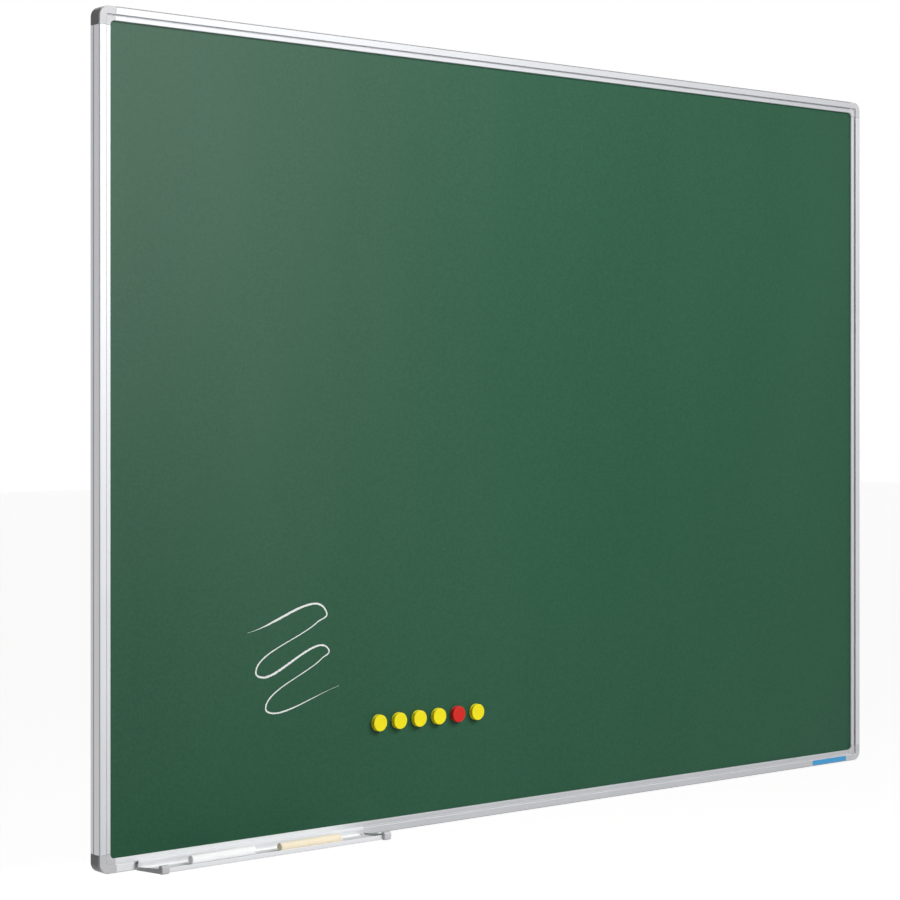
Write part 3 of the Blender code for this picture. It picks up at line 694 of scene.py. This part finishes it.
def arc(centre, radius, from_degrees, to_degrees, steps):
    """Points of a round corner in a profile."""
    degrees = [from_degrees + (to_degrees - from_degrees) * k / steps for k in range(steps + 1)]
    turns = [math.radians(turn) for turn in degrees]
    return [
        (centre[0] + radius * math.cos(turn), centre[1] + radius * math.sin(turn))
        for turn in turns
    ]


# %% [markdown]
# Round magnets
#
# The plastic cap is a knob: a foot, a soft waist to grip, and a head with a
# rolled rim and a shallow dish. Below it a well holds the ferrite disc. Six magnets
# share one profile, so the first is turned and the others are its copies.

# %% Profile of a magnet
cap_low, cap_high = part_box("magnet_cap_1")
disc_low, disc_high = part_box("magnet_core_1")
MAGNET_RADIUS = (cap_high.x - cap_low.x) / 2
MAGNET_HEIGHT = cap_high.y - cap_low.y
WELL_ROOM = 0.0003
WELL_RADIUS = (disc_high.x - disc_low.x) / 2 + WELL_ROOM
WELL_DEPTH = disc_high.y - disc_low.y + WELL_ROOM
FOOT = 0.0004
FOOT_HEIGHT = 0.0012
WAIST = 0.0007
RIM = 0.0008
DISH = [(0.80, 0.00008), (0.72, 0.00018), (0.3, 0.00022), (0, 0.00022)]

knob = [(0, WELL_DEPTH), (WELL_RADIUS, WELL_DEPTH), (WELL_RADIUS, 0)]
knob += arc((MAGNET_RADIUS - FOOT, FOOT), FOOT, -90, 0, 4)
knob += arc((MAGNET_RADIUS, FOOT_HEIGHT + WAIST), WAIST, 270, 90, 10)
knob += arc((MAGNET_RADIUS - RIM, MAGNET_HEIGHT - RIM), RIM, 0, 90, 7)
knob += [(MAGNET_RADIUS * part, MAGNET_HEIGHT - depth) for part, depth in DISH]
print("knob", round(1000 * MAGNET_HEIGHT, 1), "mm high, from", len(knob), "points")

# %% Six of them, in yellow and red
MAGNET_COUNT = 6
RED_MAGNET = 5
KNOB_STEPS = 96
seat = ((cap_low.x + cap_high.x) / 2, cap_high.y, (cap_low.z + cap_high.z) / 2)
knobs = [turned("magnet_knob_1", seat, (0, -1, 0), (1, 0, 0), knob, KNOB_STEPS)]
for number in range(2, MAGNET_COUNT + 1):
    low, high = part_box("magnet_cap_%d" % number)
    knobs.append(copied(knobs[0], "magnet_knob_%d" % number, (low.x - cap_low.x, 0, 0)))

for number, piece in enumerate(knobs, 1):
    tint, colour = yellow_plastic, "yellow_plastic"
    if number == RED_MAGNET:
        tint, colour = red_plastic, "red_plastic"
    close(piece, tint, "magnet_%d" % number, "magnet_cap_%d" % number)
print(len(knobs), "magnet knobs of", len(piece.data.polygons), "faces")

# %% [markdown]
# Chalk
#
# A stick of chalk is cast in a mould with a slight taper, so that it drops out.
# Its edges are worn soft, its skin is never quite even, and the end that has been
# written with is rubbed to a slope. The stick is turned with many rings, the slope
# is cut by a plane, and a cloud pattern moves the skin by a few hundredths of a
# millimetre.

# %% Two sticks
CHALK_TAPER = 0.0004
CHALK_EDGE = 0.0005
CHALK_RINGS = 60
CHALK_STEPS = 64
CHALK_SMOOTH = 50
WORN_SLOPE = 22
SKIN_CLOUD = 0.006
SKIN_MOVE = 0.00010
SKIN_LEVEL = 0.85


def worn_end(radius, end, inward):
    """Outline of a flat end from its edge to its middle, with the edge worn soft."""
    return [
        (radius - CHALK_EDGE * 0.35, end + inward * CHALK_EDGE * 0.3),
        (radius - CHALK_EDGE * 1.2, end),
        (radius * 0.5, end),
        (0, end),
    ]


def chalk_stick(name, node, finish, body, worn):
    """Tapered stick in a node's box. worn is the slope of its right end in degrees."""
    low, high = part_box(node)
    length = high.x - low.x
    thick = (high.z - low.z) / 2
    thin = thick - CHALK_TAPER
    start = Vector((low.x, (low.y + high.y) / 2, low.z + thin))
    end = Vector((high.x, start.y, low.z + thick))
    straight = length - 2 * CHALK_EDGE
    rings = [CHALK_EDGE + straight * k / CHALK_RINGS for k in range(CHALK_RINGS + 1)]
    outline = worn_end(thin, 0, 1)[::-1]
    outline += [(thin + CHALK_TAPER * along / length, along) for along in rings]
    outline += worn_end(thick, length, -1)
    stick = turned(name, start, end - start, (0, 0, 1), outline, CHALK_STEPS)
    if worn:
        edit(stick)
        slope = math.radians(worn)
        corner = (high.x, start.y, low.z)
        across = (math.cos(slope), 0, math.sin(slope))
        bpy.ops.mesh.bisect(plane_co=corner, plane_no=across, use_fill=True, clear_outer=True)
        bpy.ops.mesh.bevel(offset=CHALK_EDGE / 3, segments=2, affect="EDGES", clamp_overlap=True)
        bpy.ops.object.mode_set(mode="OBJECT")
    clouds = bpy.data.textures.new(name + "_skin", "CLOUDS")
    clouds.noise_scale = SKIN_CLOUD
    modify(
        "DISPLACE",
        texture=clouds,
        strength=SKIN_MOVE,
        texture_coords="LOCAL",
        mid_level=SKIN_LEVEL,
    )
    close(stick, finish, body, node, smooth=CHALK_SMOOTH)
    print(name, "of", len(stick.data.polygons), "faces,", round(1000 * length, 1), "mm long")


chalk_stick(
    "white_stick_of_chalk", "chalk_white", white_powder, "white_stick", 0
)
chalk_stick(
    "yellow_stick_of_chalk",
    "chalk_yellow",
    yellow_powder,
    "yellow_stick",
    WORN_SLOPE,
)

# %% [markdown]
# Screws
#
# Each corner cap is held by two small pan-head screws from behind. The head is
# domed, and a cross for the driver is cut into it with a boolean: the cutter is a
# small block whose four sides are drawn out into arms. The thread is a row of rings
# and not a helix, because it is too fine for anyone to tell.

# %% Turn one screw
screw_low, screw_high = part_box("corner_screw_1")
HEAD_RADIUS = (screw_high.x - screw_low.x) / 2
HEAD_HEIGHT = 0.0012
HEAD_SIDE = HEAD_HEIGHT * 0.75
DOME_RADIUS = HEAD_HEIGHT * 1.9
SHANK_RADIUS = 0.0011
THREAD_ROOT = SHANK_RADIUS * 0.78
THREAD_PITCH = 0.0008
SCREW_LENGTH = screw_high.y - screw_low.y
POINT_LENGTH = 0.0015
SCREW_STEPS = 32

screw_line = arc((0, DOME_RADIUS), DOME_RADIUS, -90, -48, 6)
screw_line += [(HEAD_RADIUS, HEAD_SIDE), (HEAD_RADIUS, HEAD_HEIGHT), (SHANK_RADIUS, HEAD_HEIGHT)]
down = HEAD_HEIGHT + THREAD_PITCH
while down < SCREW_LENGTH - POINT_LENGTH:
    screw_line += [(SHANK_RADIUS, down - THREAD_PITCH / 2), (THREAD_ROOT, down)]
    down += THREAD_PITCH
screw_line += [(SHANK_RADIUS, SCREW_LENGTH - POINT_LENGTH), (0, SCREW_LENGTH)]
head_top = ((screw_low.x + screw_high.x) / 2, screw_high.y, (screw_low.z + screw_high.z) / 2)
screw = turned("cap_screw_1", head_top, (0, -1, 0), (1, 0, 0), screw_line, SCREW_STEPS)
print("screw", round(1000 * SCREW_LENGTH, 1), "mm long, from", len(screw_line), "points")

# %% Cut its cross
CROSS_ARM = 0.0012
CROSS_WIDTH = 0.00045
CROSS_DEPTH = 0.0008
SAME_WAY = 0.99

bpy.ops.object.select_all(action="DESELECT")
bpy.ops.mesh.primitive_cube_add(size=CROSS_WIDTH, location=head_top)
cross = bpy.context.object
cross.name = "cross_cutter"
cross.scale.y = 2 * CROSS_DEPTH / CROSS_WIDTH
bpy.ops.object.transform_apply(location=True, rotation=True, scale=True)
for side in ((1, 0, 0), (-1, 0, 0), (0, 0, 1), (0, 0, -1)):
    edit(cross)
    bpy.ops.mesh.select_all(action="DESELECT")
    shape = bmesh.from_edit_mesh(cross.data)
    for face in shape.faces:
        off_axis = face.calc_center_median() - Vector(head_top)
        off_axis -= Vector(side) * off_axis.dot(Vector(side))
        if face.normal.dot(Vector(side)) > SAME_WAY and off_axis.length < CROSS_WIDTH / 2:
            face.select_set(True)
    bmesh.update_edit_mesh(cross.data)
    reach = tuple(step * (CROSS_ARM - CROSS_WIDTH / 2) for step in side)
    bpy.ops.mesh.extrude_region_move(TRANSFORM_OT_translate={"value": reach})
    bpy.ops.object.mode_set(mode="OBJECT")
pick(screw)
modify("BOOLEAN", object=cross, solver="EXACT")
bpy.data.objects.remove(cross)
print("cross of", round(1000 * 2 * CROSS_ARM, 1), "mm")

# %% Copy it to the eight places
SCREW_COUNT = 8
screws = [screw]
for number in range(2, SCREW_COUNT + 1):
    low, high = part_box("corner_screw_%d" % number)
    step = (low.x - screw_low.x, 0, low.z - screw_low.z)
    screws.append(copied(screw, "cap_screw_%d" % number, step))
for number, piece in enumerate(screws, 1):
    close(piece, plated, "board", "corner_screw_%d" % number)
print(len(screws), "screws of", len(piece.data.polygons), "faces")

# %% [markdown]
# Soft edges on moulded and pressed parts
#
# No moulded cap or pressed bracket has a truly sharp edge, and the thin bright line
# along each edge is what makes it look real. The CAD shapes are right, so each is
# copied, merged, freed of the flat triangles' inner edges, and given a bevel of a
# quarter of a millimetre or less. The rails need none, because their section is
# rounded already. Weighted normals keep flat faces flat to the light, so that only
# the narrow roundings shade softly.

# %% Copy a CAD node with softened edges
FLAT_ANGLE = 0.5
CAP_EDGE = 0.00025
END_CAP_EDGE = BRACKET_EDGE = 0.0002
TRAY_EDGE = 0.00012
RAIL_EDGE = 0


def softened(node, finish, body, width):
    """Piece with a node's shape, its edges rounded by width."""
    leave_edit_mode()
    thing = bpy.data.objects.new(node + "_dressed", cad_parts[node].data.copy())
    bpy.context.scene.collection.objects.link(thing)
    edit(thing)
    bpy.ops.mesh.remove_doubles(threshold=MERGE_DISTANCE)
    bpy.ops.mesh.dissolve_limited(angle_limit=math.radians(FLAT_ANGLE))
    bpy.ops.object.mode_set(mode="OBJECT")
    if width:
        modify(
            "BEVEL",
            width=width,
            segments=2,
            limit_method="ANGLE",
            angle_limit=math.radians(EDGE_ANGLE),
            use_clamp_overlap=True,
        )
    close(thing, finish, body, node)
    modify("WEIGHTED_NORMAL", keep_sharp=True)
    print(thing.name, len(thing.data.polygons), "faces")


for node in [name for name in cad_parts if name.startswith("corner_cap")]:
    softened(node, cap_grey, "board", CAP_EDGE)
for node in ("tray_end_cap_left", "tray_end_cap_right"):
    softened(node, end_grey, "tray", END_CAP_EDGE)
for node in [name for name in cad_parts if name.startswith("wall_")]:
    softened(node, plated, "wall_hooks", BRACKET_EDGE)
softened("top_rail", aluminium_top, "board", RAIL_EDGE)
softened("bottom_rail", aluminium_low, "board", RAIL_EDGE)
for node in ("left_stile", "right_stile"):
    softened(node, aluminium_upright, "board", RAIL_EDGE)
softened("chalk_tray", aluminium_tray, "tray", TRAY_EDGE)

# %% [markdown]
# A blank strip on the lower rail
#
# Such frames often carry a small foil strip near a lower corner. Here it is left
# blank. A plane is made at its place, its four corners are rounded by a bevel of
# vertices alone, and the face is drawn out by the thickness of the foil.

# %% Blue foil
FOIL_COLOURS = (screen(44, 142, 200), screen(66, 160, 214))
FOIL_DEPTH = 0.00001

foil = Finish("blank_foil")
foil_grain = foil.grain(900)
foil_tone = foil.grain(40)
foil.set(
    Base_Color=foil.blend(0.5 + (foil_tone - 0.5) * 0.8, *FOIL_COLOURS),
    Roughness=0.42 + (foil_grain - 0.5) * 0.12,
)
foil.relief(foil_grain, FOIL_DEPTH)

# %% Strip of foil
STRIP_LEFT, STRIP_RIGHT = 0.5030, 0.5710
STRIP_LOW, STRIP_HIGH = -0.4488, -0.4423
STRIP_ROUNDING = 0.0008
STRIP_THICKNESS = 0.00008

bpy.ops.object.select_all(action="DESELECT")
middle = ((STRIP_LEFT + STRIP_RIGHT) / 2, -FRONT_FACE - CLEARANCE, (STRIP_LOW + STRIP_HIGH) / 2)
bpy.ops.mesh.primitive_plane_add(size=1, location=middle, rotation=(math.pi / 2, 0, 0))
strip = bpy.context.object
strip.name = "blank_strip"
strip.scale = (STRIP_RIGHT - STRIP_LEFT, STRIP_HIGH - STRIP_LOW, 1)
bpy.ops.object.transform_apply(location=True, rotation=True, scale=True)
edit(strip)
bpy.ops.mesh.bevel(affect="VERTICES", offset=STRIP_ROUNDING, segments=5)
bpy.ops.mesh.select_all(action="SELECT")
bpy.ops.mesh.extrude_region_move(TRANSFORM_OT_translate={"value": (0, -STRIP_THICKNESS, 0)})
bpy.ops.object.mode_set(mode="OBJECT")
close(strip, foil, "board")
print("strip of", len(strip.data.polygons), "faces")

# %% [markdown]
# A line of chalk
#
# Somebody has tried the chalk with one loose zigzag. Chalk leaves more where it is
# pressed and dragged and nearly nothing where it is lifted, so the stroke is a thin
# strip whose width swells and fades, with ragged edges that come from the material.
# The strip is made straight, as a grid, and a Curve modifier lays it along the path.

# %% Powder on the board
STROKE_COLOURS = (screen(214, 220, 216), screen(246, 248, 246))
STROKE_COVER = 0.96
RAGGED = 1.4

stroke_finish = Finish("chalk_line")
across_stroke = stroke_finish.node("SeparateXYZ", {}, {"Vector": stroke_finish.node("UVMap")}, "Y")
edge_room = 1.0 - abs(across_stroke - 0.5) * 2.0
tooth_left = stroke_finish.grain(1500, detail=3.0)
laid = stroke_finish.between(edge_room + (tooth_left - 0.5) * RAGGED, 0.10, 0.42)
stroke_finish.set(
    Base_Color=stroke_finish.blend(tooth_left, *STROKE_COLOURS),
    Roughness=0.95,
    Specular_IOR_Level=0.1,
    Alpha=laid * STROKE_COVER,
)

# %% Path of the hand
STROKE_PATH = [
    (-0.4120, -0.2120),
    (-0.3050, -0.1960),
    (-0.3180, -0.2060),
    (-0.4010, -0.2560),
    (-0.3920, -0.2620),
    (-0.3020, -0.2380),
    (-0.3120, -0.2470),
    (-0.3880, -0.2960),
    (-0.3800, -0.3020),
    (-0.2880, -0.2790),
]
PATH_FINENESS = 48

bpy.ops.object.select_all(action="DESELECT")
bpy.ops.curve.primitive_bezier_curve_add(radius=0.01)
path_object = bpy.context.object
path_object.data.dimensions = "3D"
spline = path_object.data.splines[0]
spline.bezier_points.add(len(STROKE_PATH) - len(spline.bezier_points))
for point, (x, z) in zip(spline.bezier_points, STROKE_PATH):
    point.co = (x, z, 0)
    point.handle_left_type = point.handle_right_type = "AUTO"
path_object.data.resolution_u = PATH_FINENESS
bpy.context.view_layer.update()
path_length = spline.calc_length()
print("path", round(path_length, 3), "m long")

# %% Lay the strip along the path
SHEET_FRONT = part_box("writing_sheet")[0].y
STROKE_WIDTH = 0.0032
STROKE_PIECES = 480
STROKE_SMOOTH = 60
POWDER_THICKNESS = 0.00004
SWINGS, SWING_START = 5, 0.1
LIGHTEST = 0.42
TOUCH_DOWN, LIFT_OFF, THINNEST = 14, 5, 0.12


def stroke_width(run):
    """Width at a part of the path: pressed at each turn, lifted at both ends."""
    press = 0.5 + 0.5 * math.cos(math.pi * SWINGS * (run - SWING_START))
    lifted = min(1.0, TOUCH_DOWN * run, LIFT_OFF * (1 - run))
    return STROKE_WIDTH * (LIGHTEST + (1 - LIGHTEST) * press) * max(lifted, THINNEST)


bpy.ops.object.select_all(action="DESELECT")
bpy.ops.mesh.primitive_grid_add(
    x_subdivisions=STROKE_PIECES, y_subdivisions=4, size=1, calc_uvs=True
)
stroke = bpy.context.object
stroke.name = "chalk_stroke"
for vertex in stroke.data.vertices:
    run = vertex.co.x + 0.5
    vertex.co = (run * path_length, vertex.co.y * stroke_width(run), 0)
modify("CURVE", object=path_object)
bpy.data.objects.remove(path_object)
edit(stroke)
bpy.ops.mesh.extrude_region_move(TRANSFORM_OT_translate={"value": (0, 0, POWDER_THICKNESS)})
bpy.ops.object.mode_set(mode="OBJECT")
stroke.rotation_euler.x = math.pi / 2
stroke.location.y = SHEET_FRONT - CLEARANCE
close(stroke, stroke_finish, "board", smooth=STROKE_SMOOTH)
print("stroke of", len(stroke.data.polygons), "faces")

# %% [markdown]
# The studio
#
# The floor is pale and plain, and lies at the height of a classroom floor below
# the board. The glow of the floor and the white of the room beyond it are there only
# for the camera and in reflections. What lights the board is dimmer, so that each
# colour renders as it was written.

# %% Floor
FLOOR_HEIGHT = -1.35
FLOOR_SIDE = 60.0
FLOOR_GLOW = (0.78, 0.78, 0.78, 1)
NO_GLOW = (0, 0, 0, 1)

bpy.ops.object.select_all(action="DESELECT")
bpy.ops.mesh.primitive_plane_add(size=FLOOR_SIDE, location=(0, 0, FLOOR_HEIGHT))
floor = bpy.context.object
floor.name = "studio_floor"
floor_finish = Finish("pale_floor")
floor_finish.set(
    Base_Color=screen(235, 235, 234),
    Roughness=0.9,
    Emission_Color=floor_finish.blend(floor_finish.looked_at(), NO_GLOW, FLOOR_GLOW),
    Emission_Strength=1.0,
)
floor.data.materials.append(floor_finish.material)
floor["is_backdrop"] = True
print("floor", FLOOR_HEIGHT, "m below the middle of the board")

# %% White room, dimmer as a light than to the eye
ROOM_LIGHT = 0.12

world = bpy.data.worlds.new("studio_room")
world.use_nodes = True
bpy.context.scene.world = world
room = Graph(world.node_tree)
background = room.tree.nodes["Background"]
strength = ROOM_LIGHT + (1 - ROOM_LIGHT) * room.looked_at()
room.tree.links.new(strength.socket, background.inputs["Strength"])
background.inputs["Color"].default_value = (1, 1, 1, 1)
print("room lights the board at", ROOM_LIGHT, "of what the camera sees")


# %% [markdown]
# Three soft boxes
#
# The main box stands far to the right and high, and lights the board evenly. A small
# one near the upper left corner gives the brighter frame there, and adds to the
# painted sheen that makes the green paler there.
# The third lights the back, which would be dull from behind without it.

# %% Soft boxes
def soft_box(name, place, aim, size, watts):
    """Square or oblong lamp at a place, turned to its aim."""
    bpy.ops.object.light_add(type="AREA", location=place)
    lamp = bpy.context.object
    lamp.name = name
    lamp.data.shape = "RECTANGLE"
    lamp.data.size, lamp.data.size_y = size
    lamp.data.energy = watts
    lamp.rotation_euler = (Vector(aim) - Vector(place)).to_track_quat("-Z", "Y").to_euler()
    lamp.visible_camera = False
    print(name, watts, "W")


soft_box("near_box", (-0.1, -1.3, 0.64), (-0.5, 0, 0.08), (0.4, 1.1), 15)
soft_box("main_box", (2.2, -3.2, 2.9), (0, 0, 0), (1.0, 1.0), 112)
soft_box("back_box", (1.2, 3.0, 1.3), (0, 0, 0), (2.0, 2.0), 55)

bpy.context.scene.view_settings.view_transform = "Standard"

# %% [markdown]
# Closing
#
# The box of the dressed model is printed, in millimetres.

# %% Print the size of the dressed model
low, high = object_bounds()
print("visual box in mm:", [round(1000 * (b - a), 1) for a, b in zip(low, high)])
